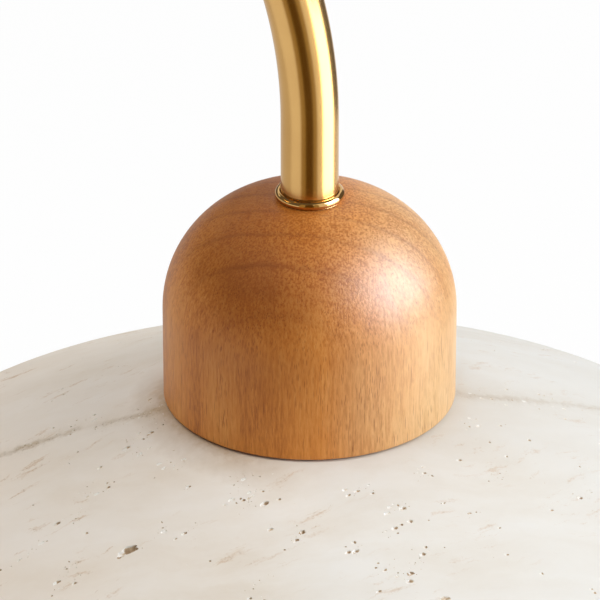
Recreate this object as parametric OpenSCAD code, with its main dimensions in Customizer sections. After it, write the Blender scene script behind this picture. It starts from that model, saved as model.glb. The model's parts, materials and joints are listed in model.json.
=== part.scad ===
// Swing-arm wall sconce: a stone shade and a turned wooden cap hang from a bent brass tube,
// which swivels on a fork on a round wall plate.
// Millimetres. The wall is the plane y = 0, the room is on the -y side, and z is up.
// The origin is the centre of the mounting strap, on the wall.

/* [Arm tube] */
// Outside diameter of the arm tube
arm_d = 16; // [14:0.5:18]
// Wall thickness of the arm tube
arm_wall = 1.5; // [1:0.1:2]
// Radius of the bend, on the tube's centre line
bend_r = 150; // [120:5:200]
// Straight length from the swivel axis to the start of the bend
arm_reach = 34; // [32:1:80]
// Straight length from the end of the bend to the foot of the wooden cap
arm_drop = 84; // [78:1:140]

/* [Bead collars] */
// Radial width of a bead collar
bead_w = 1.65; // [1.4:0.05:2.6]
// Height of a bead collar
bead_h = 2.4; // [2:0.1:4]

/* [Wooden cap] */
// Diameter of the cap at its foot
cap_d = 82; // [78:1:96]
// Height of the cap from foot to crown
cap_h = 61; // [59:1:72]
// Radius of the flat curve over the crown
crown_r = 120; // [100:5:200]
// Radius of the shoulder between crown and side
shoulder_r = 34; // [28:1:38]
// Diameter of the hollow that hides the lampholder
hollow_d = 54; // [46:1:56]
// Thickness of wood left over the hollow
crown_wall = 14; // [12:0.5:16]
// Depth of the seat that the arm tube stands in
tube_seat = 8; // [5:0.5:9]
// Width of the broken edge round the foot
foot_edge = 0.5; // [0.3:0.1:1.5]
// Thickness of the felt pad between cap and stone
felt_t = 0.5; // [0.3:0.1:1.5]

/* [Stone shade] */
// Outside diameter of the shade
shade_d = 270; // [240:5:320]
// Thickness of the stone
shade_wall = 12; // [9:0.5:15]
// Slope of the stone beside the cap, in degrees
shade_slope = 24; // [16:1:28]
// How much steeper the stone is at the rim, in degrees
shade_crown = 3; // [2:0.5:10]
// Ledge of flat stone round the foot of the cap
seat_ledge = 0.8; // [0.3:0.1:3]

/* [Lampholder] */
// Outside diameter of the threaded skirt
holder_d = 39.8; // [38:0.1:42]
// Wall thickness of the skirt
skirt_wall = 4.6; // [3.5:0.1:4.8]
// Diameter of the threaded tube that carries the lampholder
nipple_d = 9.7; // [9:0.1:11]
// Bore of that tube
nipple_bore = 6.8; // [6:0.1:7.4]
// Outside diameter of the clamping ring under the stone
ring_d = 58; // [52:1:70]
// Height of the clamping ring
ring_h = 5; // [4:0.5:8]

/* [Lamp] */
// Diameter of the opal globe
globe_d = 45; // [42:1:60]
// Length of the lamp's housing below the lampholder's mouth
lamp_neck = 14; // [10:1:20]

/* [Wall plate] */
// Diameter of the wall plate
plate_d = 130; // [122:1:150]
// Depth of the wall plate
plate_depth = 22; // [20:1:30]
// Thickness of the spun metal
plate_wall = 1.5; // [1:0.1:2]
// Radius of the plate's rounded edge
plate_edge_r = 10; // [5:0.5:12]

/* [Swivel] */
// Diameter of the knuckle
knuckle_d = 24; // [23:0.5:28]
// Height of the knuckle
knuckle_h = 30; // [26:1:36]
// Diameter of the socket boss that holds the arm
boss_d = 22; // [20:0.5:23]
// Diameter of the pivot screws
pivot_d = 8; // [6:0.5:10]
// Thickness of the fork's ears
ear_t = 5; // [4:0.5:8]
// Thickness of the thrust washers
thrust_t = 0.8; // [0.5:0.1:1.5]
// Swing to each side, in degrees
swing = 45; // [20:1:50]

/* [Switch] */
// Diameter of the switch knob
knob_d = 16; // [14:0.5:20]
// Length of the switch knob
knob_h = 14; // [11:0.5:20]
// Distance of the switch's axis from the plate's edge
switch_edge = 23; // [22:0.5:30]

/* [Mounting strap] */
// Distance between the screw slots
box_pitch = 88.9; // [84:0.1:96]
// Length of each slot
slot_len = 14; // [8:0.5:15]
// Width of each slot
slot_w = 4.6; // [4:0.1:5.5]
// Width of the strap
strap_w = 22; // [18:1:26]
// Thickness of the strap
strap_t = 2; // [1.5:0.1:2.2]
// Distance between the studs that hold the wall plate
stud_pitch = 56; // [50:1:60]

/* [Fits] */
// Radial play of a running fit
run_fit = 0.05; // [0.02:0.01:0.1]
// Radial play of a slip fit
slip_fit = 0.1; // [0.05:0.01:0.2]
// Radial play round a lead in its passage
lead_fit = 0.3; // [0.2:0.05:0.5]

/* [Hidden] */
$fn = 96;
eps = 0.02;            // overlap of shapes that are joined
cut = 1;               // overrun of a cut past a face
arc_steps = 20;        // points along a rounded stretch of an outline
lead_d = 4.4;          // sheathed two-core lead
core_d = 1.9;          // one insulated core of it
core_apart = 0.2;      // gap between the two cores
lead_tail = 4;         // lead below the threaded tube, in the lampholder's cap

// Swivel and fork
flange_d = 30;
flange_t = 4;
neck_d = 17;
neck_l = 4;
fork_back_t = 6;
fork_gap = 0.6;        // free room between knuckle and fork
stub_d = 13;           // threaded stub through the wall plate
stub_l = 9.5;
stub_nut_af = 17;
stub_nut_h = 5;
stub_washer_d = 19;
stub_washer_t = 1;
pivot_y = plate_depth + flange_t + neck_l + fork_back_t + knuckle_d / 2 + fork_gap;
ear_z = knuckle_h / 2 + thrust_t;
pivot_depth = 9;       // pivot screw inside the knuckle
pivot_end_gap = 0.5;   // free room under the pivot screw's end
pivot_head_h = 6;
pivot_head_edge = 2;   // straight edge under the head's dome
pivot_head_in = 3.5;   // head inside the ear's edge
pivot_head_d = knuckle_d - 2 * pivot_head_in;
pivot_slot_w = 1.4;
pivot_slot_deep = 1.6;
thrust_rim = 2.5;
thrust_d = pivot_d + 2 * thrust_rim;
boss_out = 14;         // socket boss beyond the barrel
boss_l = knuckle_d / 2 + boss_out;
socket_l = 12;
window_room = 1;       // free room above and below the lead in the knuckle's window
window_h = lead_d + 2 * window_room;
stop_d = 2.6;
stop_in = 3.3;         // stop pin's axis inside the barrel's edge
stop_r = knuckle_d / 2 - stop_in;
stop_rise = 3;         // stop pin above the lower ear's washer
stop_slack = 1;        // degrees left to the pin at each end of the swing
groove_play = 0.3;
groove_top = 0.5;      // free room over the stop pin
groove_w = stop_d + 2 * groove_play;
groove_half = swing + asin(stop_d / 2 / stop_r) + stop_slack;
grub_d = 4;
grub_in = 0.3;         // grub screw's end inside the boss

// Arm and lamp places
arm_r = arm_d / 2;
arm_bore_r = arm_r - arm_wall;
lamp_y = pivot_y + arm_reach + bend_r;
cap_z = -(bend_r + arm_drop);
plug_l = 12;

// Cap outline: side, shoulder arc and crown arc meet without a corner
cap_r = cap_d / 2;
crown_z = cap_h - crown_r;
shoulder_x = cap_r - shoulder_r;
shoulder_z = crown_z + sqrt(pow(crown_r - shoulder_r, 2) - pow(shoulder_x, 2));
shoulder_end = atan2(shoulder_z - crown_z, shoulder_x);
roof_z = cap_h - crown_wall;
bead_ri = arm_r + run_fit;
bead_ro = arm_r + bead_w;
spot_play = 0.2;
spot_r = bead_ro + spot_play;
spot_z = crown_z + sqrt(pow(crown_r, 2) - pow(spot_r, 2));

// Clamp stack inside the cap
cap_washer_t = 1.2;
cap_washer_d = 22;
cap_nut_h = 4;
cap_nut_af = 14;
holder_gap = 0.3;
holder_top = roof_z - cap_washer_t - cap_nut_h - holder_gap;
nipple_grip = 9;       // thread inside the lampholder's cap
nipple_short = 2;      // plug's thread left free above the nipple
nipple_top = cap_h - tube_seat + plug_l - nipple_short;
nipple_foot = holder_top - nipple_grip;

// Stone outline
seat_r = cap_r + seat_ledge;
rim_slope = shade_slope + shade_crown;
dome_r = (shade_d / 2 - seat_r - shade_wall / 2 * (1 - sin(rim_slope)))
       / (sin(rim_slope) - sin(shade_slope));
dome_x = seat_r - dome_r * sin(shade_slope);
dome_z = -felt_t - dome_r * cos(shade_slope);
inner_slope = acos((dome_r * cos(shade_slope) - shade_wall) / (dome_r - shade_wall));
stone_foot = -felt_t - shade_wall;

// Lampholder and lamp
holder_r = holder_d / 2;
stone_play = 0.7;
stone_hole_r = holder_r + stone_play;
ring_pad_t = 1;
ring_top = stone_foot - ring_pad_t;
mouth_out = 2.2;       // skirt below the clamping ring
mouth_z = ring_top - ring_h - mouth_out;
skirt_ri = holder_r - skirt_wall;
holder_cap_h = 17.5;
skirt_top = holder_top - holder_cap_h;
block_h = 9;
contact_d = 8;
contact_h = 1.4;
thread_r = 12.62;      // mean radius of the lamp's screw cap
thread_wave = 0.46;    // half its depth
thread_pitch = 3.629;
shell_gap = 0.3;
shell_t = 0.5;
shell_top = skirt_top - block_h;
shell_short = 1;       // lamp's screw cap below the shell
lamp_contact_h = 2.4;
lamp_top = shell_top - contact_h - lamp_contact_h;
lamp_inside = 9;       // lamp's housing inside the lampholder's mouth
lamp_foot = mouth_z + lamp_inside;
neck_r = 13.6;
neck_edge = 1;         // straight neck below the mouth
globe_r = globe_d / 2;
globe_lip = 3.4;
globe_join_r = globe_r - globe_lip;
globe_top = mouth_z - lamp_neck;
globe_z = globe_top - sqrt(pow(globe_r, 2) - pow(globe_join_r, 2));
globe_wall = 1.2;

// Wall plate pieces
strap_end = 3.5;       // steel left outside a slot
strap_len = box_pitch + slot_len + 2 * strap_end;
strap_eye_d = 20;
stud_d = 4;
stud_out = 5.5;        // stud in front of the plate
stud_l = plate_depth + stud_out;
ball_nut_d = 10;
ball_nut_rim = 1.6;
ball_nut_neck = 2.2;   // height of the neck under the ball
ball_nut_h = 8.5;
ball_nut_room = 0.3;   // free room over the stud's end
ball_d = 8;
ground_x = -19;
switch_w = 20;
switch_h = 12;
switch_floor = 4;      // switch behind the end of its shaft
knob_drop = plate_d / 2 - switch_edge;
bush_d = 10;
bush_out = 5;
bush_nut_af = 14;
bush_nut_h = 2.5;
shaft_d = 6;
knob_gap = 1;          // free room between knob and switch nut
knob_foot = plate_depth + bush_out + knob_gap;
knob_top = 3;          // metal in front of the shaft
knob_grub_d = 3;
knob_grub_in = 1.2;    // grub screw's end inside the knob
core_turn = 135;       // direction of a core from straight up, in degrees: down and outwards
core_bend = 5;
core_tail = 4;
connector_l = 20;
connector_d = 9.4;
connector_tip_d = 7;
connector_tip_r = 2;
connector_draft = 0.8;

// Frames: local z points out of the wall; the swivel axis; the foot of the wooden cap
module on_wall() { rotate([90, 0, 0]) children(); }
module at_swivel() { translate([0, -pivot_y, 0]) children(); }
module at_lamp() { translate([0, -lamp_y, cap_z]) children(); }
module at_switch() { on_wall() translate([0, -knob_drop, 0]) children(); }

// Points of an arc about (x, z), from angle a to angle b
function arc(x, z, r, a, b, n = arc_steps) =
  [for (i = [0:n]) let (t = a + (b - a) * i / n) [x + r * cos(t), z + r * sin(t)]];

// Ring from z to z + h
module ring(ro, ri, z, h) {
  translate([0, 0, z]) difference() {
    cylinder(r = ro, h = h);
    translate([0, 0, -cut]) cylinder(r = ri, h = h + 2 * cut);
  }
}

// Hexagon nut from z to z + h
module hex_nut(af, bore_r, z, h) {
  translate([0, 0, z]) difference() {
    cylinder(d = af / cos(30), h = h, $fn = 6);
    translate([0, 0, -cut]) cylinder(r = bore_r, h = h + 2 * cut);
  }
}

// Round bar or tube along the arm's centre line, from y0 on the level run to foot height z0
module along_arm(ro, ri, y0, z0) {
  level = arm_reach - y0;
  drop = cap_z + z0 + bend_r;
  difference() {
    union() {
      translate([0, -y0, 0]) rotate([90, 0, 0]) cylinder(r = ro, h = level);
      translate([0, -arm_reach, -bend_r]) rotate([0, -90, 180])
        rotate_extrude(angle = 90) translate([bend_r, 0]) circle(r = ro);
      translate([0, -arm_reach - bend_r, cap_z + z0]) cylinder(r = ro, h = -drop);
    }
    if (ri > 0) {
      translate([0, -y0 + cut, 0]) rotate([90, 0, 0]) cylinder(r = ri, h = level + cut);
      translate([0, -arm_reach, -bend_r]) rotate([0, -90, 180])
        rotate_extrude(angle = 90) translate([bend_r, 0]) circle(r = ri);
      translate([0, -arm_reach - bend_r, cap_z + z0 - cut]) cylinder(r = ri, h = cut - drop);
    }
  }
}

// Bead collar standing on z = 0, with a rounded back
module bead() {
  round_r = bead_h / 2;
  rotate_extrude() polygon(concat(
    [[bead_ri, 0], [bead_ro - round_r * 0.5, 0]],
    arc(bead_ro - round_r, round_r, round_r, -60, 90, 12),
    [[bead_ri, bead_h - round_r * 0.2]]));
}

// Strap of steel that is screwed to the box in the wall
module mounting_strap() {
  end_d = strap_w;
  color("silver") on_wall() linear_extrude(strap_t) difference() {
    union() {
      square([strap_len - end_d, strap_w], center = true);
      for (s = [-1, 1]) translate([s * (strap_len - end_d) / 2, 0]) circle(d = end_d);
    }
    for (s = [-1, 1]) translate([s * box_pitch / 2, 0]) {
      square([slot_len - slot_w, slot_w], center = true);
      for (e = [-1, 1]) translate([e * (slot_len - slot_w) / 2, 0]) circle(d = slot_w);
    }
    for (s = [-1, 1]) translate([s * stud_pitch / 2, 0]) circle(d = stud_d + 2 * slip_fit);
    translate([ground_x, 0]) circle(d = stud_d + 2 * slip_fit);
    circle(d = strap_eye_d);
  }
}

// Earth screw on the strap
module ground_screw() {
  head_d = 8;
  head_h = 2.4;
  head_slot = 1.2;
  color("seagreen") on_wall() translate([ground_x, 0, 0]) difference() {
    union() {
      cylinder(d = stud_d, h = strap_t + eps);
      translate([0, 0, strap_t]) cylinder(d = head_d, h = head_h);
    }
    translate([-head_d, -head_slot / 2, strap_t + head_h - head_slot])
      cube([2 * head_d, head_slot, head_slot + cut]);
  }
}

// Two studs from the strap through the wall plate
module plate_studs() {
  color("silver") on_wall() for (s = [-1, 1])
    translate([s * stud_pitch / 2, 0, 0]) cylinder(d = stud_d, h = stud_l);
}

// Spun dish against the wall
module wall_plate() {
  r = plate_d / 2;
  inner_edge = plate_edge_r - plate_wall;
  color("goldenrod") on_wall() difference() {
    rotate_extrude() polygon(concat(
      [[0, plate_depth - plate_wall]],
      arc(r - plate_wall - inner_edge, plate_depth - plate_wall - inner_edge, inner_edge, 90, 0),
      [[r - plate_wall, 0], [r, 0]],
      arc(r - plate_edge_r, plate_depth - plate_edge_r, plate_edge_r, 0, 90),
      [[0, plate_depth]]));
    cylinder(d = stub_d + 2 * slip_fit, h = 2 * plate_depth);
    for (s = [-1, 1]) translate([s * stud_pitch / 2, 0, 0])
      cylinder(d = stud_d + 2 * lead_fit, h = 2 * plate_depth);
    translate([0, -knob_drop, 0]) cylinder(d = bush_d + 2 * slip_fit, h = 2 * plate_depth);
  }
}

// Turned nuts that hold the plate on its studs: a rim, a neck and a ball
module plate_cap_nuts() {
  ball_r = ball_d / 2;
  ball_z = ball_nut_h - ball_r;
  neck_angle = asin((ball_z - ball_nut_neck) / ball_r);
  color("gold") on_wall() for (s = [-1, 1]) translate([s * stud_pitch / 2, 0, plate_depth])
    difference() {
      rotate_extrude() polygon(concat(
        [[0, 0], [ball_nut_d / 2, 0], [ball_nut_d / 2, ball_nut_rim]],
        arc(0, ball_z, ball_r, -neck_angle, 90)));
      translate([0, 0, -cut]) cylinder(d = stud_d + 2 * slip_fit, h = stud_out + ball_nut_room + cut);
    }
}

// Fork with its flange, neck, back and two ears, and the threaded stub behind it
module fork_bracket() {
  back_y = knuckle_d / 2 + fork_gap;
  fork_h = 2 * (ear_z + ear_t);
  color("goldenrod") difference() {
    union() {
      on_wall() translate([0, 0, plate_depth - stub_l]) cylinder(d = stub_d, h = stub_l + flange_t);
      on_wall() translate([0, 0, plate_depth]) cylinder(d = flange_d, h = flange_t);
      on_wall() translate([0, 0, plate_depth + flange_t - eps])
        cylinder(d = neck_d, h = neck_l + 2 * eps);
      at_swivel() translate([-knuckle_d / 2, back_y, -fork_h / 2])
        cube([knuckle_d, fork_back_t, fork_h]);
      at_swivel() for (s = [-1, 1]) translate([0, 0, s * (ear_z + ear_t / 2)])
        linear_extrude(ear_t, center = true) {
          circle(d = knuckle_d);
          translate([-knuckle_d / 2, 0]) square([knuckle_d, back_y + eps]);
        }
    }
    at_swivel() cylinder(d = pivot_d + 2 * run_fit, h = 2 * fork_h, center = true);
    on_wall() cylinder(d = lead_d + 2 * lead_fit, h = pivot_y);
    at_swivel() translate([0, stop_r, -ear_z - ear_t - cut]) cylinder(d = stop_d, h = ear_t + 2 * cut);
  }
}

// Washer and nut on the stub, inside the wall plate
module fork_washer() {
  color("silver") on_wall() ring(stub_washer_d / 2, stub_d / 2 + slip_fit,
    plate_depth - plate_wall - stub_washer_t, stub_washer_t);
}
module fork_nut() {
  nut_top = plate_depth - plate_wall - stub_washer_t;
  color("silver") on_wall()
    hex_nut(stub_nut_af, stub_d / 2 + slip_fit, nut_top - stub_nut_h, stub_nut_h);
}

// Upper and lower pivot screws with domed heads
module pivot_screws() {
  head_r = pivot_head_d / 2;
  dome_h = pivot_head_h - pivot_head_edge;
  crown = (pow(head_r, 2) + pow(dome_h, 2)) / (2 * dome_h);
  half_angle = asin(head_r / crown);
  seat = ear_z + ear_t;
  end_z = knuckle_h / 2 - pivot_depth + pivot_end_gap;
  color("gold") at_swivel() for (s = [0, 1]) mirror([0, 0, s]) difference() {
    rotate_extrude() polygon(concat(
      [[0, end_z], [pivot_d / 2, end_z], [pivot_d / 2, seat], [head_r, seat]],
      arc(0, seat + pivot_head_h - crown, crown, 90 - half_angle, 90)));
    translate([-head_r, -pivot_slot_w / 2, seat + pivot_head_h - pivot_slot_deep])
      cube([2 * head_r, pivot_slot_w, pivot_slot_deep + cut]);
  }
}

// Pin in the lower ear that runs in the knuckle's groove
module swing_stop_pin() {
  color("silver") at_swivel() translate([0, stop_r, -ear_z - ear_t])
    cylinder(d = stop_d, h = ear_t + thrust_t + stop_rise);
}

// Where the two cores leave the sheath, side by side; each bends away along its own y
sheath_z = plate_depth - stub_l;
module each_core() {
  on_wall() for (s = [0, 1]) mirror([s, 0, 0])
    translate([-(core_d + core_apart) / 2, 0, sheath_z]) rotate(core_turn) children();
}

// Lead from the swivel through the fork, and its two cores in the wall plate
module wall_lead() {
  color("ivory") {
    on_wall() translate([0, 0, sheath_z - eps])
      cylinder(d = lead_d, h = pivot_y - sheath_z - lead_d / 2 - lead_fit + eps);
    each_core() {
      translate([0, core_bend, 0]) rotate([0, 90, 0]) rotate([0, 0, -90])
        rotate_extrude(angle = 90) translate([core_bend, 0]) circle(d = core_d);
      translate([0, core_bend, -core_bend]) rotate([-90, 0, 0]) cylinder(d = core_d, h = core_tail);
    }
  }
}

// Twist-on connectors where the cores meet the house wires
module wire_connectors() {
  color("darkorange") each_core() translate([0, core_bend + core_tail, -core_bend])
    rotate([-90, 0, 0]) rotate_extrude() polygon(concat(
      [[0, 0], [connector_d / 2, 0], [connector_d / 2 - connector_draft, connector_l / 2]],
      arc(connector_tip_d / 2 - connector_tip_r, connector_l - connector_tip_r, connector_tip_r, 0, 90, 6),
      [[0, connector_l]]));
}

// Rotary switch behind the plate, with its threaded bush
module switch_body() {
  color("dimgray") at_switch() difference() {
    union() {
      translate([-switch_w / 2, -switch_w / 2, plate_depth - plate_wall - switch_h])
        cube([switch_w, switch_w, switch_h]);
      translate([0, 0, plate_depth - plate_wall - eps])
        cylinder(d = bush_d, h = bush_out + plate_wall + eps);
    }
    translate([0, 0, plate_depth - plate_wall - switch_h + switch_floor])
      cylinder(d = shaft_d + 2 * run_fit, h = plate_depth);
  }
}
module switch_nut() {
  color("gold") at_switch() hex_nut(bush_nut_af, bush_d / 2 + slip_fit, plate_depth, bush_nut_h);
}

// Shaft that turns in the bush
module switch_shaft() {
  shaft_foot = plate_depth - plate_wall - switch_h + switch_floor;
  color("silver") at_switch() translate([0, 0, shaft_foot])
    cylinder(d = shaft_d, h = knob_foot + knob_h - knob_top - shaft_foot);
}

// Fluted knob
module switch_knob() {
  flutes = 24;
  flute_depth = 0.5;
  edge = 1.2;
  r = knob_d / 2;
  color("gold") at_switch() translate([0, 0, knob_foot]) difference() {
    intersection() {
      linear_extrude(knob_h) polygon([for (i = [0:2 * flutes - 1])
        let (rr = i % 2 == 0 ? r : r - flute_depth, t = 360 * i / (2 * flutes))
          [rr * cos(t), rr * sin(t)]]);
      rotate_extrude() polygon([[0, 0], [r - edge / 2, 0], [r + edge, edge * 1.5],
        [r + edge, knob_h - 2 * edge], [r - edge, knob_h], [0, knob_h]]);
    }
    translate([0, 0, -cut]) cylinder(d = shaft_d + 2 * run_fit, h = knob_h - knob_top + run_fit + cut);
    translate([0, 0, knob_h / 2]) rotate([90, 0, 0])
      cylinder(d = knob_grub_d + 2 * slip_fit, h = knob_d);
  }
}
module knob_grub_screw() {
  color("dimgray") at_switch() translate([0, -shaft_d / 2 - run_fit, knob_foot + knob_h / 2])
    rotate([90, 0, 0]) cylinder(d = knob_grub_d, h = knob_d / 2 - shaft_d / 2 - knob_grub_in);
}

// Knuckle: turning barrel with a socket for the arm, a window for the lead and a stop groove
module knuckle() {
  color("goldenrod") at_swivel() difference() {
    union() {
      cylinder(d = knuckle_d, h = knuckle_h, center = true);
      rotate([90, 0, 0]) cylinder(d = boss_d, h = boss_l);
    }
    for (s = [-1, 1]) translate([0, 0, s * (knuckle_h - pivot_depth + cut) / 2])
      cylinder(d = pivot_d + 2 * run_fit, h = pivot_depth + cut, center = true);
    translate([0, -boss_l + socket_l, 0]) rotate([90, 0, 0])
      cylinder(r = arm_r + slip_fit, h = socket_l + cut);
    rotate([90, 0, 0]) cylinder(d = lead_d + 2 * lead_fit, h = boss_l);
    translate([-knuckle_d, 0, -window_h / 2]) cube([2 * knuckle_d, knuckle_d, window_h]);
    translate([0, 0, -knuckle_h / 2 - cut]) rotate(90 - groove_half)
      rotate_extrude(angle = 2 * groove_half) translate([stop_r - groove_w / 2, 0])
        square([groove_w, stop_rise + groove_top + cut]);
    translate([0, -boss_l + socket_l / 2, -boss_d]) cylinder(d = grub_d + 2 * slip_fit, h = boss_d);
  }
}

// Brass washers above and below the knuckle
module thrust_washers() {
  color("silver") at_swivel() for (s = [0, 1]) mirror([0, 0, s])
    ring(thrust_d / 2, pivot_d / 2 + slip_fit, knuckle_h / 2, thrust_t);
}

// Bent tube from the knuckle to the wooden cap
module arm_tube() {
  color("goldenrod") at_swivel() along_arm(arm_r, arm_bore_r, boss_l - socket_l, cap_h - tube_seat);
}
module arm_grub_screw() {
  color("dimgray") at_swivel() translate([0, -boss_l + socket_l / 2, -boss_d / 2 + grub_in])
    cylinder(d = grub_d, h = boss_d / 2 - arm_r - grub_in - eps);
}

// Bead collars where the tube meets the knuckle and the cap
module wall_bead() {
  color("gold") at_swivel() translate([0, -boss_l, 0]) rotate([90, 0, 0]) bead();
}
module cap_bead() {
  color("gold") at_lamp() translate([0, 0, spot_z]) bead();
}

// Lead inside the tube, with a round end on the swivel axis
module arm_lead() {
  r = lead_d / 2;
  color("ivory") at_swivel() union() {
    rotate([90, 0, 0]) rotate_extrude() polygon(concat(
      [[0, arm_reach / 2]], [[r, arm_reach / 2]], arc(0, 0, r, 0, -90, 12)));
    along_arm(r, 0, arm_reach / 2, nipple_foot - lead_tail);
  }
}

// Threaded plug in the tube's end and the hollow threaded tube in it
module tube_plug() {
  color("goldenrod") at_lamp()
    ring(arm_bore_r - run_fit, nipple_d / 2 + slip_fit, cap_h - tube_seat, plug_l);
}
module nipple() {
  color("silver") at_lamp() ring(nipple_d / 2, nipple_bore / 2, nipple_foot, nipple_top - nipple_foot);
}

// Turned cap
module wooden_cap() {
  color("peru") at_lamp() difference() {
    rotate_extrude() polygon(concat(
      [[0, 0], [cap_r - foot_edge, 0]],
      [[cap_r, foot_edge]],
      arc(shoulder_x, shoulder_z, shoulder_r, 0, shoulder_end, 2 * arc_steps),
      arc(0, crown_z, crown_r, shoulder_end, 90)));
    translate([0, 0, -cut]) cylinder(d = hollow_d, h = roof_z + cut);
    cylinder(r = nipple_d / 2 + lead_fit, h = 2 * cap_h);
    translate([0, 0, cap_h - tube_seat]) cylinder(r = arm_r + slip_fit, h = cap_h);
    translate([0, 0, spot_z]) cylinder(r = spot_r, h = cap_h);
  }
}

// Washer and nut that clamp the cap to the tube
module cap_washer() {
  color("silver") at_lamp()
    ring(cap_washer_d / 2, nipple_d / 2 + slip_fit, roof_z - cap_washer_t, cap_washer_t);
}
module cap_nut() {
  color("silver") at_lamp()
    hex_nut(cap_nut_af, nipple_d / 2 + slip_fit, roof_z - cap_washer_t - cap_nut_h, cap_nut_h);
}

// Felt between wood and stone
module felt_pad() {
  felt_in = 1.5;
  hollow_room = 0.5;
  color("saddlebrown") at_lamp() ring(cap_r - felt_in, hollow_d / 2 + hollow_room, -felt_t, felt_t);
}

// Stone shell: flat seat, sloping crown, round rim and a parallel inside
module stone_shade() {
  nose_r = shade_wall / 2;
  nose_x = dome_x + (dome_r - nose_r) * sin(rim_slope);
  nose_z = dome_z + (dome_r - nose_r) * cos(rim_slope);
  color("linen") at_lamp() rotate_extrude() polygon(concat(
    [[stone_hole_r, stone_foot], [stone_hole_r, -felt_t]],
    arc(dome_x, dome_z, dome_r, 90 - shade_slope, 90 - rim_slope),
    arc(nose_x, nose_z, nose_r, 90 - rim_slope, -90 - rim_slope),
    arc(dome_x, dome_z, dome_r - shade_wall, 90 - rim_slope, 90 - inner_slope)));
}

// Rubber ring and threaded ring that hold the stone up
module ring_pad() {
  pad_in = 1;
  pad_room = 0.4;
  color("black") at_lamp() ring(ring_d / 2 - pad_in, holder_r + pad_room, ring_top, ring_pad_t);
}
module shade_ring() {
  notches = 12;
  notch_d = 4;
  notch_out = 0.8;
  ring_flange_h = 2.4;
  sleeve_ri = holder_r + slip_fit;
  sleeve_wall = 3.4;
  sleeve_ro = holder_r + sleeve_wall;
  color("dimgray") at_lamp() difference() {
    translate([0, 0, ring_top - ring_h]) rotate_extrude() polygon([
      [sleeve_ri, 0], [sleeve_ro, 0], [sleeve_ro, ring_h - ring_flange_h],
      [ring_d / 2, ring_h - ring_flange_h], [ring_d / 2, ring_h], [sleeve_ri, ring_h]]);
    for (i = [0:notches - 1]) rotate(360 * (i + 0.5) / notches)
      translate([ring_d / 2 + notch_out, 0, ring_top - ring_h - cut])
        cylinder(d = notch_d, h = ring_h + 2 * cut);
  }
}

// Lampholder: cap with the threaded entry, skirt, contact block, centre contact and screw shell
module lampholder_cap() {
  entry_r = 9.5;
  entry_h = 3;
  side_in = 0.6;
  side_r = holder_r - side_in;
  side_h = 6;
  round_r = 8;
  color("dimgray") at_lamp() difference() {
    rotate_extrude() polygon(concat(
      [[0, skirt_top], [side_r, skirt_top], [side_r, skirt_top + side_h]],
      arc(side_r - round_r, skirt_top + side_h, round_r, 0, 80, 8),
      [[entry_r, holder_top - entry_h], [entry_r, holder_top], [0, holder_top]]));
    translate([0, 0, nipple_foot]) cylinder(r = nipple_d / 2 + slip_fit, h = nipple_grip + cut);
    translate([0, 0, nipple_foot - lead_tail]) cylinder(r = lead_d / 2 + lead_fit, h = lead_tail + cut);
  }
}
module lampholder_skirt() {
  color("dimgray") at_lamp() ring(holder_r, skirt_ri, mouth_z, skirt_top - mouth_z);
}
module contact_block() {
  color("white") at_lamp() translate([0, 0, shell_top]) cylinder(r = skirt_ri - slip_fit, h = block_h);
}
module centre_contact() {
  color("gold") at_lamp() translate([0, 0, shell_top - contact_h])
    cylinder(d = contact_d, h = contact_h);
}

// Radius of the lamp's rolled screw thread at height z
function thread_at(z) = thread_r + thread_wave * cos(360 * z / thread_pitch);
thread_step = thread_pitch / 8;
function thread_points(z0, z1, grow) =
  let (n = ceil((z1 - z0) / thread_step))
  [for (i = [0:n]) let (z = z0 + (z1 - z0) * i / n) [thread_at(z) + grow, z]];
function turned_round(points) = [for (i = [len(points) - 1:-1:0]) points[i]];

module screw_shell() {
  foot = lamp_foot + shell_short;
  color("gold") at_lamp() rotate_extrude() polygon(concat(
    thread_points(foot, shell_top, shell_gap + shell_t),
    turned_round(thread_points(foot, shell_top, shell_gap))));
}
module lamp_screw_cap() {
  color("silver") at_lamp() rotate_extrude() polygon(concat(
    [[0, lamp_foot]], thread_points(lamp_foot, lamp_top, 0), [[0, lamp_top]]));
}
module lamp_contact() {
  glass_d = 19;
  color("dimgray") at_lamp() translate([0, 0, lamp_top])
    cylinder(d1 = glass_d, d2 = contact_d, h = lamp_contact_h);
}

// Lamp housing from the screw cap to the globe
module lamp_neck_housing() {
  color("white") at_lamp() rotate_extrude() polygon([
    [0, lamp_foot], [neck_r, lamp_foot], [neck_r, mouth_z - neck_edge],
    [globe_join_r, globe_top], [0, globe_top]]);
}
module lamp_globe() {
  color("snow") at_lamp() intersection() {
    translate([0, 0, globe_z]) difference() {
      sphere(r = globe_r);
      sphere(r = globe_r - globe_wall);
    }
    translate([0, 0, globe_top - 4 * globe_r]) cylinder(r = 2 * globe_r, h = 4 * globe_r);
  }
}

mounting_strap();
ground_screw();
plate_studs();
wall_plate();
plate_cap_nuts();
fork_bracket();
fork_washer();
fork_nut();
pivot_screws();
swing_stop_pin();
wall_lead();
wire_connectors();
switch_body();
switch_nut();
switch_shaft();
switch_knob();
knob_grub_screw();
knuckle();
thrust_washers();
arm_tube();
arm_grub_screw();
wall_bead();
arm_lead();
tube_plug();
nipple();
cap_bead();
wooden_cap();
cap_washer();
cap_nut();
felt_pad();
stone_shade();
ring_pad();
shade_ring();
lampholder_cap();
lampholder_skirt();
contact_block();
centre_contact();
screw_shell();
lamp_screw_cap();
lamp_contact();
lamp_neck_housing();
lamp_globe();
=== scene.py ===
# %% [markdown]
# # A swing-arm wall sconce
# The lamp hangs from a bent brass tube that swivels on a fork at the wall. A turned wooden cap hides
# the lampholder, and a shallow travertine shade sits under it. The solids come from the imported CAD
# model, at their real size and place. This lesson dresses them: it rounds and smooths what shows,
# opens the pits in the stone, and gives each material its grain, polish and wear.

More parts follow.
